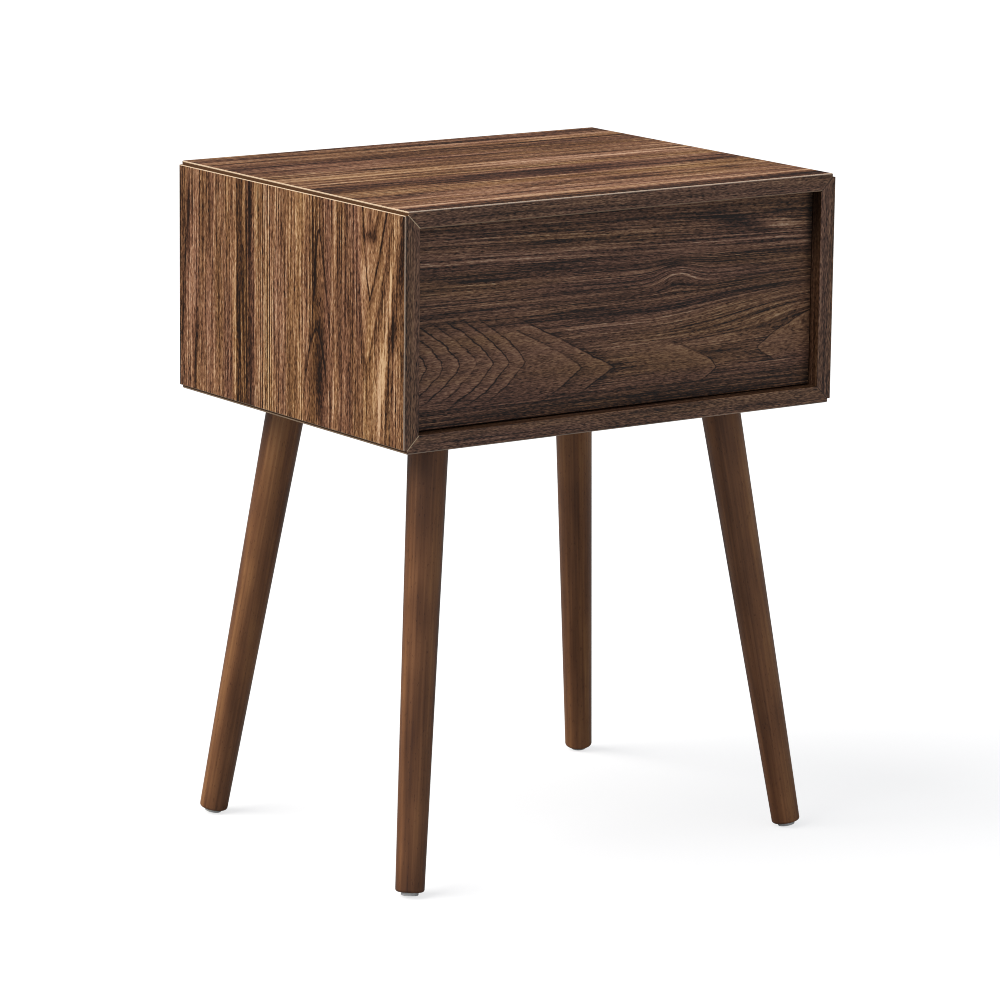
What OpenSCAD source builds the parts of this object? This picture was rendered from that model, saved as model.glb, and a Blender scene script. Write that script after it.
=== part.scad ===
// Side table with one push-to-open drawer: a mitred box case on four splayed legs.
// Origin: on the floor, under the middle of the case. +Z up, the drawer opens towards -Y.

/* [Case] */
// Width of the case, left to right
case_w = 450; // [420:1:500]
// Depth of the case, front edge to back edge
case_d = 354; // [352:1:400]
// Height of the case, without the legs
case_h = 202; // [190:1:230]
// Height of the case's underside above the floor
floor_gap = 386; // [300:1:450]
// Thickness of the four case boards
board_t = 15; // [15:0.5:18]
// Side of the square notch that runs along each mitred corner
quirk = 3.4; // [2:0.1:4]
// Width of the bare bevel on each edge of that notch
bevel = 0.6; // [0.3:0.1:0.8]
// Thickness of the bands on the front and back edges
band_t = 1; // [0.8:0.1:2]
// Rounding of the bands' outer edges
ease = 0.8; // [0.3:0.1:0.8]
// How far the drawer front and the back panel sit inside the frame
recess = 11; // [8:0.5:12]
// Thickness of the back panel
back_t = 8; // [6:0.5:9]

/* [Drawer] */
// Gap between the drawer front and the case, on each side
front_gap = 1.2; // [1:0.1:2]
// Thickness of the drawer front
front_t = 15; // [12:0.5:16]
// Thickness of the drawer box's boards
box_t = 12; // [12:0.5:13]
// Length of the drawer box, front to back
box_l = 260; // [255:1:262]
// Height of the drawer box
box_h = 120; // [110:1:130]
// Space under the drawer box
box_lift = 18; // [14:1:24]
// Thickness of the drawer's bottom
bottom_t = 4; // [3:0.5:5]

/* [Slides] */
// Length of each slide member
slide_l = 250; // [245:1:250]
// Height of the cabinet member
slide_h = 45; // [44:0.5:46]
// Space that the three nested members fill beside the drawer
slide_w = 12.7; // [12.7:0.1:13]
// Radius of the bearing balls
ball_r = 1.55; // [1.4:0.05:1.55]

/* [Legs] */
// Diameter at the top of a leg
leg_top_d = 34.5; // [32:0.5:36]
// Diameter at the foot of a leg
leg_foot_d = 25; // [22:0.5:28]
// Lean of a leg from upright, towards its corner of the case
leg_lean = 10.2; // [6:0.1:12]
// Distance from the case's sides to a leg's axis at the underside
leg_inset_x = 71; // [60:1:80]
// Distance from the case's front and back edges to a leg's axis at the underside
leg_inset_y = 68; // [60:1:80]
// Depth of the tilted cup that a leg screws up to
cup_h = 11; // [11:0.5:13]
// Radius of a plastic glide
glide_r = 7.5; // [6:0.5:9]
// Thickness of a plastic glide
glide_h = 3; // [3:0.5:4]

/* [Latch] */
// Gap between the resting latch and the drawer's strike plate
latch_gap = 2.8; // [2.7:0.1:3.2]

/* [Hidden] */

$fn = 64;
eps = 1;      // overrun of a cut past the face it opens
fit = 0.05;   // radial clearance round a screw, dowel or bolt
slot_w = 0.7; // width of a screw head's cross slot

// Screws: [length, shank radius, head radius, head thickness]
plate_fastener = [14, 2, 4, 2.2];
front_fastener = [23.8, 2, 4, 1.8];
case_fastener = [14, 1.75, 3.5, 1.4];
box_fastener = [12, 1.75, 3.5, 1.4];
latch_fastener = [11, 1.6, 3.2, 1.4];
strike_fastener = [11, 1.5, 3, 1.4];

// Case
half_w = case_w / 2;
half_d = case_d / 2;
case_z = floor_gap;
top_z = case_z + case_h;
mid_z = case_z + case_h / 2;
inner_w = case_w - 2 * board_t;
inner_h = case_h - 2 * board_t;
inner_z = case_z + board_t;
board_l = case_d - 2 * band_t;
groove_h = 5;
groove_play = 0.15;
back_y = half_d - recess - back_t;
spline_w = 10;
spline_t = 3;
spline_l = case_d - 80;
spline_in = board_t - 4;

// Drawer
front_y = -half_d + recess;
box_y = front_y + front_t;
box_w = inner_w - 2 * slide_w;
box_z = inner_z + box_lift;
box_in_w = box_w - 2 * box_t;
latch_z = box_z + box_h / 2;
bottom_z = box_z + 10;
tongue = 6;
dowel_r = 4;
dowel_l = 28;
dowel_in = 9;
dowel_zs = [35, 95];
front_screw_x = 125;
front_screw_z = 30;

// Slides, measured from the case side (u) and from the slide's centre line (v)
slide_y = box_y + 10;
slide_z = box_z + 42;
steel_t = 1.2;
outer_depth = 9.6;
lip = 1;
middle_u = 3.4;
middle_t = 1;
middle_depth = 6;
race = 3.7;
middle_half = slide_h / 2 - steel_t - race;
drawer_half = middle_half - middle_t - race;
drawer_flange = 7.4;
outer_race = middle_half + race / 2;
inner_race = drawer_half + race / 2;
ball_u = 6.6;
ball_pitch = 12;
cage_balls = 9;
cage_t = 1;
cage_w = 3.6;
slide_screw_ys = [25, 125, 225];

// Legs
leg_x = half_w - leg_inset_x;
leg_y = half_d - leg_inset_y;
glide_round = 1;
foot_round = 2.5;
foot_drop = (glide_r - glide_round) * sin(leg_lean) + (glide_h - glide_round) * cos(leg_lean)
  + glide_round;
leg_end = (floor_gap - foot_drop) / cos(leg_lean);
plate_w = 60;
plate_t = 2;
plate_round = 7;
plate_screw = 22.5;
cup_r = leg_top_d / 2 + 1.5;
cup_wall = 2;
bolt_r = 4;
bolt_in_leg = 38;
nut_h = 5;
nut_r = 7.5;
nail_r = 1;
nail_l = 14;
nail_head_r = 2.4;
nail_head_h = 0.8;

// Latch, on the middle of the back panel, level with the middle of the drawer box
strike_t = 1.2;
strike_w = 32;
strike_h = 16;
strike_screw = 11;
tip_y = box_y + box_l + strike_t + latch_gap;
barrel_y = tip_y + 3.2;
barrel_r = 8;
tip_h = back_y - tip_y;
barrel_h = back_y - barrel_y;
plunger_r = 4.6;
plunger_play = 0.08;
plunger_l = 36;
plunger_bore = 3.3;
plunger_nose = 5;
base_t = 3;
base_w = 48;
base_h = 22;
base_screw = 18;
magnet_r = 3;
magnet_l = 2.5;
spring_r = 2.7;
wire_r = 0.4;
spring_turns = 9;

walnut = "#6b4a36";
walnut_edge = "#4e3b30";
beech = "#6a4629";
birch = "#d8c3a0";
zinc = "#b9bcc0";

// ---- shapes that repeat ----

module mirror_copy(v) {
  children();
  mirror(v) children();
}

// Section of a case board: outer face at y = 0, blunted mitres at both ends
module mitred_section(length) {
  h = length / 2;
  polygon([
    [-h + quirk + bevel, 0], [h - quirk - bevel, 0], [h - quirk, bevel], [h - quirk, quirk],
    [h - board_t, board_t], [-h + board_t, board_t], [-h + quirk, quirk], [-h + quirk, bevel]
  ]);
}

// Board lying with its outer face on z = 0, its length along X and its depth along Y
module mitred_board(length) {
  rotate([90, 0, 0]) linear_extrude(board_l, center = true) mitred_section(length);
}

// Turns a lying board into the bottom, the top or a side of the case
module as_bottom() {
  translate([0, 0, case_z]) children();
}

module as_top() {
  translate([0, 0, top_z]) mirror([0, 0, 1]) children();
}

module as_left() {
  translate([-half_w, 0, mid_z]) rotate([0, 90, 0]) children();
}

module as_right() {
  mirror([1, 0, 0]) as_left() children();
}

// Section of a band: front face at x = 0, with both front edges rounded
module band_section() {
  translate([ease, 0]) square([band_t - ease, board_t]);
  translate([0, ease]) square([band_t, board_t - 2 * ease]);
  translate([ease, ease]) circle(ease, $fn = 32);
  translate([ease, board_t - ease]) circle(ease, $fn = 32);
}

// Band for a lying board, with its front face on the case's front plane
module edge_band(length) {
  translate([0, -half_d, 0]) intersection() {
    rotate([90, 0, 0]) translate([0, 0, -band_t]) linear_extrude(band_t) mitred_section(length);
    rotate([90, 0, 90]) linear_extrude(length, center = true) band_section();
  }
}

// The back panel and the groove that holds it share this block
module back_block(play) {
  w = inner_w + 2 * groove_h;
  h = inner_h + 2 * groove_h;
  translate([-w / 2 - play, back_y - play, mid_z - h / 2 - play])
    cube([w + 2 * play, back_t + 2 * play, h + 2 * play]);
}

// Four loose tongues, one across the middle of each mitre joint
module spline_blocks(play) {
  for (sx = [-1, 1], sz = [-1, 1])
    translate([sx * (half_w - spline_in), 0, mid_z + sz * (case_h / 2 - spline_in)])
      rotate([0, sx * sz * 45, 0])
        cube([spline_w + 2 * play, spline_l + 2 * play, spline_t + 2 * play], center = true);
}

// Wood screw along -Z, its head's top face at z = 0
module wood_screw(s) {
  length = s[0];
  r = s[1];
  head_r = s[2];
  head_h = s[3];
  tip = 2 * r;
  difference() {
    union() {
      translate([0, 0, -head_h]) cylinder(h = head_h, r = head_r);
      translate([0, 0, -length + tip]) cylinder(h = length - tip - head_h / 2, r = r);
      translate([0, 0, -length]) cylinder(h = tip, r1 = 0.3, r2 = r);
    }
    for (a = [0, 90])
      rotate([0, 0, a]) cube([head_r, slot_w, head_h * 1.2], center = true);
  }
}

module screw_hole(s) {
  depth = s[0] + 0.2;
  translate([0, 0, -depth]) cylinder(h = depth + eps, r = s[1] + fit);
}

// Board w wide, t thick and h high, with its front edges bevelled by c, its front face at y = 0
module bevelled_board(w, t, h, c) {
  intersection() {
    translate([0, 0, -h / 2]) linear_extrude(h)
      polygon([[-w / 2 + c, 0], [w / 2 - c, 0], [w / 2, c], [w / 2, t], [-w / 2, t], [-w / 2, c]]);
    rotate([90, 0, 90]) linear_extrude(w, center = true)
      polygon([[0, -h / 2 + c], [c, -h / 2], [t, -h / 2], [t, h / 2], [c, h / 2], [0, h / 2 - c]]);
  }
}

// ---- case ----

module case_cuts() {
  back_block(groove_play);
  spline_blocks(groove_play);
  cabinet_screw_holes();
  for (sx = [-1, 1], sy = [-1, 1]) plate_screw_places(sx, sy) screw_hole(plate_fastener);
}

module case_top() {
  color(walnut) difference() {
    as_top() mitred_board(case_w);
    case_cuts();
  }
}

module case_bottom() {
  color(walnut) difference() {
    as_bottom() mitred_board(case_w);
    case_cuts();
  }
}

module case_left_side() {
  color(walnut) difference() {
    as_left() mitred_board(case_h);
    case_cuts();
  }
}

module case_right_side() {
  color(walnut) difference() {
    as_right() mitred_board(case_h);
    case_cuts();
  }
}

module back_panel() {
  color(walnut) difference() {
    back_block(0);
    latch_screw_places() screw_hole(latch_fastener);
  }
}

module front_band_top() {
  color(walnut_edge) as_top() edge_band(case_w);
}

module front_band_bottom() {
  color(walnut_edge) as_bottom() edge_band(case_w);
}

module front_band_left() {
  color(walnut_edge) as_left() edge_band(case_h);
}

module front_band_right() {
  color(walnut_edge) as_right() edge_band(case_h);
}

module rear_band_top() {
  mirror([0, 1, 0]) front_band_top();
}

module rear_band_bottom() {
  mirror([0, 1, 0]) front_band_bottom();
}

module rear_band_left() {
  mirror([0, 1, 0]) front_band_left();
}

module rear_band_right() {
  mirror([0, 1, 0]) front_band_right();
}

module mitre_splines() {
  color(birch) spline_blocks(0);
}

// ---- legs ----

// Frame of a leg: origin where its axis meets the underside, -Z down along the leg
module leg_frame(sx, sy) {
  translate([sx * leg_x, sy * leg_y, case_z])
    rotate([0, 0, atan2(sy, sx)])
      rotate([0, -leg_lean, 0])
        children();
}

// Outline of a leg from its axis outwards, with a rounded foot edge
module leg_outline() {
  top_r = leg_top_d / 2;
  foot_r = leg_foot_d / 2;
  arc = [for (a = [0:15:90]) [
    foot_r - foot_round + foot_round * cos(a), -leg_end + foot_round - foot_round * sin(a)]];
  polygon(concat([[0, -cup_h], [top_r - 1, -cup_h], [top_r, -cup_h - 1]], arc, [[0, -leg_end]]));
}

module leg(sx, sy) {
  color(beech) leg_frame(sx, sy) difference() {
    rotate_extrude($fn = 96) leg_outline();
    translate([0, 0, -cup_h - bolt_in_leg - 1]) cylinder(h = bolt_in_leg + 1 + eps, r = bolt_r + fit);
    translate([0, 0, -leg_end - eps]) cylinder(h = nail_l + eps, r = nail_r + fit);
  }
}

module front_left_leg() {
  leg(-1, -1);
}

module front_right_leg() {
  leg(1, -1);
}

module back_left_leg() {
  leg(-1, 1);
}

module back_right_leg() {
  leg(1, 1);
}

module below_case() {
  translate([-half_w, -half_d, case_z - 60]) cube([case_w, case_d, 60]);
}

// The four screw places of one leg plate, on the head's top face, screws pointing up
module plate_screw_places(sx, sy) {
  for (ax = [-1, 1], ay = [-1, 1])
    translate([sx * leg_x + ax * plate_screw, sy * leg_y + ay * plate_screw,
               case_z - plate_t - plate_fastener[3]])
      mirror([0, 0, 1]) children();
}

module plate_outline() {
  d = plate_w - 2 * plate_round;
  square([plate_w, d], center = true);
  square([d, plate_w], center = true);
  for (ax = [-1, 1], ay = [-1, 1])
    translate([ax * d / 2, ay * d / 2]) circle(plate_round);
}

// Pressed steel plate: a flat flange with a tilted cup that faces down the leg
module leg_plate(sx, sy) {
  color(zinc) difference() {
    union() {
      translate([sx * leg_x, sy * leg_y, case_z - plate_t]) linear_extrude(plate_t) plate_outline();
      intersection() {
        leg_frame(sx, sy) translate([0, 0, -cup_h]) cylinder(h = cup_h + 10, r = cup_r);
        below_case();
      }
    }
    leg_frame(sx, sy) {
      translate([0, 0, -cup_h + cup_wall]) cylinder(h = cup_h + 10, r = cup_r - cup_wall);
      translate([0, 0, -cup_h - eps]) cylinder(h = cup_wall + 2 * eps, r = bolt_r + fit);
    }
    plate_screw_places(sx, sy) screw_hole(plate_fastener);
  }
}

module front_left_leg_plate() {
  leg_plate(-1, -1);
}

module front_right_leg_plate() {
  leg_plate(1, -1);
}

module back_left_leg_plate() {
  leg_plate(-1, 1);
}

module back_right_leg_plate() {
  leg_plate(1, 1);
}

// Hexagon nuts inside the cups
module leg_plate_nuts() {
  color(zinc) for (sx = [-1, 1], sy = [-1, 1])
    leg_frame(sx, sy) translate([0, 0, -cup_h + cup_wall]) difference() {
      cylinder(h = nut_h, r = nut_r, $fn = 6);
      translate([0, 0, -eps]) cylinder(h = nut_h + 2 * eps, r = bolt_r + fit);
    }
}

// Hanger bolts: wood end down in the leg, machine end up through plate and nut
module leg_hanger_bolts() {
  tip = 4;
  above = cup_wall + nut_h + 0.6;
  color(zinc) for (sx = [-1, 1], sy = [-1, 1])
    leg_frame(sx, sy) translate([0, 0, -cup_h - bolt_in_leg]) {
      cylinder(h = tip, r1 = 1, r2 = bolt_r);
      translate([0, 0, tip]) cylinder(h = bolt_in_leg - tip + above, r = bolt_r);
    }
}

module leg_plate_screws() {
  color(zinc) for (sx = [-1, 1], sy = [-1, 1])
    plate_screw_places(sx, sy) wood_screw(plate_fastener);
}

// Moulded disc with a rounded lower edge, closed over its nail's head
module glide(sx, sy) {
  r = glide_r - glide_round;
  color("gainsboro") leg_frame(sx, sy) translate([0, 0, -leg_end]) mirror([0, 0, 1])
    rotate_extrude() difference() {
      union() {
        square([glide_r, glide_h - glide_round]);
        square([r, glide_h]);
        intersection() {
          translate([r, glide_h - glide_round]) circle(glide_round, $fn = 32);
          square([glide_r, glide_h]);
        }
      }
      translate([-eps, -eps]) square([nail_r + fit + eps, eps + 1]);
      translate([-eps, 1]) square([nail_head_r + fit + eps, nail_head_h]);
    }
}

module front_left_glide() {
  glide(-1, -1);
}

module front_right_glide() {
  glide(1, -1);
}

module back_left_glide() {
  glide(-1, 1);
}

module back_right_glide() {
  glide(1, 1);
}

module glide_nails() {
  color(zinc) for (sx = [-1, 1], sy = [-1, 1])
    leg_frame(sx, sy) translate([0, 0, -leg_end - 1]) {
      translate([0, 0, -nail_head_h]) cylinder(h = nail_head_h, r = nail_head_r);
      cylinder(h = nail_l - 2, r = nail_r);
      translate([0, 0, nail_l - 2]) cylinder(h = 2, r1 = nail_r, r2 = 0.2);
    }
}

// ---- drawer ----

// The four screws that hold the front to the box, heads inside the box
module front_screw_places() {
  for (sx = [-1, 1], sz = [-1, 1])
    translate([sx * front_screw_x, box_y + box_t + front_fastener[3], latch_z + sz * front_screw_z])
      rotate([-90, 0, 0]) children();
}

module drawer_front() {
  color(walnut) difference() {
    translate([0, front_y, mid_z])
      bevelled_board(inner_w - 2 * front_gap, front_t, inner_h - 2 * front_gap, 0.5);
    front_screw_places() screw_hole(front_fastener);
  }
}

// The drawer's bottom and the groove for it share this block
module bottom_block(play) {
  w = box_in_w + 2 * tongue;
  l = box_l - 2 * box_t + 2 * tongue;
  translate([-w / 2 - play, box_y + box_t - tongue - play, bottom_z - play])
    cube([w + 2 * play, l + 2 * play, bottom_t + 2 * play]);
}

// Dowels: two at each end of the inner front and of the back
module dowel_places() {
  for (sx = [-1, 1], y = [box_y + box_t / 2, box_y + box_l - box_t / 2], z = dowel_zs)
    translate([sx * (box_w / 2 - box_t + dowel_in), y, box_z + z])
      rotate([0, -sx * 90, 0]) children();
}

module dowel_holes() {
  dowel_places() translate([0, 0, -0.2]) cylinder(h = dowel_l + 0.4, r = dowel_r + fit);
}

module box_cuts() {
  bottom_block(groove_play);
  dowel_holes();
  drawer_screw_holes();
  front_screw_places() screw_hole(front_fastener);
  strike_screw_places() screw_hole(strike_fastener);
}

module drawer_left_side() {
  color(birch) difference() {
    translate([-box_w / 2, box_y, box_z]) cube([box_t, box_l, box_h]);
    box_cuts();
  }
}

module drawer_right_side() {
  color(birch) difference() {
    translate([box_w / 2 - box_t, box_y, box_z]) cube([box_t, box_l, box_h]);
    box_cuts();
  }
}

module drawer_inner_front() {
  color(birch) difference() {
    translate([-box_in_w / 2, box_y, box_z]) cube([box_in_w, box_t, box_h]);
    box_cuts();
  }
}

module drawer_back() {
  color(birch) difference() {
    translate([-box_in_w / 2, box_y + box_l - box_t, box_z]) cube([box_in_w, box_t, box_h]);
    box_cuts();
  }
}

module drawer_bottom() {
  color(birch) bottom_block(0);
}

module drawer_dowels() {
  color("burlywood") dowel_places() cylinder(h = dowel_l, r = dowel_r);
}

module drawer_front_screws() {
  color(zinc) front_screw_places() wood_screw(front_fastener);
}

// ---- slides ----

// Frame of a slide: X away from the case side, Y back along the slide, Z up from its centre line
module slide_frame(side) {
  mirror([side < 0 ? 0 : 1, 0, 0])
    translate([-inner_w / 2, slide_y, slide_z])
      children();
}

// Bar with its section in (u, v), along the whole slide
module slide_bar(u, v, w, h) {
  translate([u, 0, v]) cube([w, slide_l, h]);
}

module cabinet_member() {
  mirror_copy([0, 0, 1]) {
    slide_bar(0, -eps, steel_t, slide_h / 2 + eps);
    slide_bar(0, slide_h / 2 - steel_t, outer_depth, steel_t);
    slide_bar(outer_depth - steel_t, slide_h / 2 - steel_t - lip, steel_t, lip + steel_t);
  }
}

module middle_member() {
  mirror_copy([0, 0, 1]) {
    slide_bar(middle_u, -eps, middle_t, middle_half + eps);
    slide_bar(middle_u, middle_half - middle_t, middle_depth, middle_t);
  }
}

module drawer_member() {
  mirror_copy([0, 0, 1]) {
    slide_bar(slide_w - steel_t, -eps, steel_t, drawer_half + eps);
    slide_bar(slide_w - drawer_flange, drawer_half - steel_t, drawer_flange, steel_t);
  }
}

// Upper and lower cage strips with their balls, at height v from the centre line
module ball_cage(side, v) {
  length = (cage_balls + 1) * ball_pitch;
  start = (slide_l - length) / 2;
  color("lightsteelblue") slide_frame(side) for (s = [-1, 1]) {
    translate([ball_u - cage_w / 2, start, s * v - cage_t / 2]) difference() {
      cube([cage_w, length, cage_t]);
      for (i = [1:cage_balls])
        translate([cage_w / 2, i * ball_pitch, -eps])
          cylinder(h = cage_t + 2 * eps, r = ball_r + fit, $fn = 24);
    }
    for (i = [1:cage_balls])
      translate([ball_u, start + i * ball_pitch, s * v]) sphere(ball_r, $fn = 24);
  }
}

module cabinet_screw_places() {
  for (side = [-1, 1], y = slide_screw_ys)
    slide_frame(side) translate([steel_t + case_fastener[3], y, 0]) rotate([0, 90, 0]) children();
}

module cabinet_screw_holes() {
  cabinet_screw_places() screw_hole(case_fastener);
}

module drawer_screw_places() {
  for (side = [-1, 1], y = slide_screw_ys)
    slide_frame(side) translate([slide_w - steel_t - box_fastener[3], y, 0]) rotate([0, -90, 0]) children();
}

module drawer_screw_holes() {
  drawer_screw_places() screw_hole(box_fastener);
}

module cabinet_slide(side) {
  color(zinc) difference() {
    slide_frame(side) cabinet_member();
    cabinet_screw_holes();
  }
}

module drawer_slide(side) {
  color(zinc) difference() {
    slide_frame(side) drawer_member();
    drawer_screw_holes();
  }
}

module left_cabinet_slide() {
  cabinet_slide(-1);
}

module right_cabinet_slide() {
  cabinet_slide(1);
}

module left_middle_slide() {
  color(zinc) slide_frame(-1) middle_member();
}

module right_middle_slide() {
  color(zinc) slide_frame(1) middle_member();
}

module left_drawer_slide() {
  drawer_slide(-1);
}

module right_drawer_slide() {
  drawer_slide(1);
}

module left_outer_ball_cage() {
  ball_cage(-1, outer_race);
}

module left_inner_ball_cage() {
  ball_cage(-1, inner_race);
}

module right_outer_ball_cage() {
  ball_cage(1, outer_race);
}

module right_inner_ball_cage() {
  ball_cage(1, inner_race);
}

module cabinet_slide_screws() {
  color(zinc) cabinet_screw_places() wood_screw(case_fastener);
}

module drawer_slide_screws() {
  color(zinc) drawer_screw_places() wood_screw(box_fastener);
}

// ---- latch ----

// Frame of the latch: Z forward along its axis, from the back panel's inner face
module latch_frame() {
  translate([0, back_y, latch_z]) rotate([90, 0, 0]) children();
}

module latch_screw_places() {
  for (sx = [-1, 1])
    latch_frame() translate([sx * base_screw, 0, base_t + latch_fastener[3]]) children();
}

module latch_housing() {
  color("gray") difference() {
    latch_frame() difference() {
      union() {
        translate([-base_w / 2, -base_h / 2, 0]) cube([base_w, base_h, base_t]);
        cylinder(h = barrel_h, r = barrel_r);
      }
      translate([0, 0, base_t]) cylinder(h = barrel_h, r = plunger_r + plunger_play);
    }
    latch_screw_places() screw_hole(latch_fastener);
  }
}

module latch_plunger() {
  color("white") latch_frame() difference() {
    translate([0, 0, tip_h - plunger_l]) cylinder(h = plunger_l, r = plunger_r);
    translate([0, 0, tip_h - plunger_l - eps])
      cylinder(h = plunger_l - plunger_nose + eps, r = plunger_bore);
    translate([0, 0, tip_h - magnet_l]) cylinder(h = magnet_l + eps, r = magnet_r + fit);
  }
}

module latch_magnet() {
  color("silver") latch_frame() translate([0, 0, tip_h - magnet_l]) cylinder(h = magnet_l, r = magnet_r);
}

// Helix swept as one closed tube with square-cut ends
module latch_spring() {
  sides = 8;
  steps = 20;
  rings = spring_turns * steps;
  z0 = base_t + wire_r + 0.1;
  rise = (tip_h - plunger_nose - 0.6 - 2 * wire_r - z0) / rings;
  function ring(i) = [for (k = [0:sides - 1])
    let (a = i * 360 / steps, b = k * 360 / sides, r = spring_r + wire_r * cos(b))
    [r * cos(a), r * sin(a), z0 + i * rise + wire_r * sin(b)]];
  points = [for (i = [0:rings]) each ring(i)];
  walls = [for (i = [0:rings - 1], k = [0:sides - 1])
    let (n = (k + 1) % sides)
    [i * sides + k, i * sides + n, (i + 1) * sides + n, (i + 1) * sides + k]];
  first = [[for (k = [sides - 1:-1:0]) k]];
  last = [[for (k = [0:sides - 1]) rings * sides + k]];
  color("silver") latch_frame() polyhedron(points, concat(walls, first, last));
}

module latch_screws() {
  color(zinc) latch_screw_places() wood_screw(latch_fastener);
}

module strike_screw_places() {
  for (sx = [-1, 1])
    translate([sx * strike_screw, box_y + box_l + strike_t + strike_fastener[3], latch_z])
      rotate([-90, 0, 0]) children();
}

// Steel plate on the drawer's back that the magnet holds
module strike_plate() {
  color(zinc) difference() {
    translate([-strike_w / 2, box_y + box_l, latch_z - strike_h / 2])
      cube([strike_w, strike_t, strike_h]);
    strike_screw_places() screw_hole(strike_fastener);
  }
}

module strike_plate_screws() {
  color(zinc) strike_screw_places() wood_screw(strike_fastener);
}

case_top();
case_bottom();
case_left_side();
case_right_side();
back_panel();
front_band_top();
front_band_bottom();
front_band_left();
front_band_right();
rear_band_top();
rear_band_bottom();
rear_band_left();
rear_band_right();
mitre_splines();
front_left_leg();
front_right_leg();
back_left_leg();
back_right_leg();
front_left_leg_plate();
front_right_leg_plate();
back_left_leg_plate();
back_right_leg_plate();
leg_plate_nuts();
leg_hanger_bolts();
leg_plate_screws();
front_left_glide();
front_right_glide();
back_left_glide();
back_right_glide();
glide_nails();
drawer_front();
drawer_inner_front();
drawer_left_side();
drawer_right_side();
drawer_back();
drawer_bottom();
drawer_dowels();
drawer_front_screws();
left_cabinet_slide();
right_cabinet_slide();
left_middle_slide();
right_middle_slide();
left_drawer_slide();
right_drawer_slide();
left_outer_ball_cage();
left_inner_ball_cage();
right_outer_ball_cage();
right_inner_ball_cage();
cabinet_slide_screws();
drawer_slide_screws();
latch_housing();
latch_plunger();
latch_magnet();
latch_spring();
latch_screws();
strike_plate();
strike_plate_screws();
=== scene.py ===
import math

import bpy
from mathutils import Matrix, Vector


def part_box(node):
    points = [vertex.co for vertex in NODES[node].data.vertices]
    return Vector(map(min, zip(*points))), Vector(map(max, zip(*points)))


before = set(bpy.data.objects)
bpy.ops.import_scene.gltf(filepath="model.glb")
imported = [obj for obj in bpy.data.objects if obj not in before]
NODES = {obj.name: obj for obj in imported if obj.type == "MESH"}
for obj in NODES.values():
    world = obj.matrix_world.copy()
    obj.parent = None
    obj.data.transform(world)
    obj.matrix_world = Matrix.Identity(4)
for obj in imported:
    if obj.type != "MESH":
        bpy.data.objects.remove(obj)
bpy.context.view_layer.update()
SIDES = ("left", "right")
ENDS = ("front", "back")
MM = 0.001
NOTCH = 3.4 * MM  # side of the square notch along each mitred corner
BOARD = 15 * MM  # thickness of the case's boards


# ---- shader graph: numbers that nodes work out, written like plain arithmetic ----


class Value:
    """A number that a node gives. Arithmetic on it adds math nodes to the same graph."""

    def __init__(self, graph, socket):
        self.graph, self.socket = graph, socket

    def __add__(self, other):
        return self.graph.math("ADD", self, other)

    def __radd__(self, other):
        return self.graph.math("ADD", other, self)

    def __sub__(self, other):
        return self.graph.math("SUBTRACT", self, other)

    def __rsub__(self, other):
        return self.graph.math("SUBTRACT", other, self)

    def __mul__(self, other):
        return self.graph.math("MULTIPLY", self, other)

    def __truediv__(self, other):
        return self.graph.math("DIVIDE", self, other)

    def __pow__(self, power):
        return self.graph.math("POWER", self, power)

    def __abs__(self):
        return self.graph.math("ABSOLUTE", self)


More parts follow.
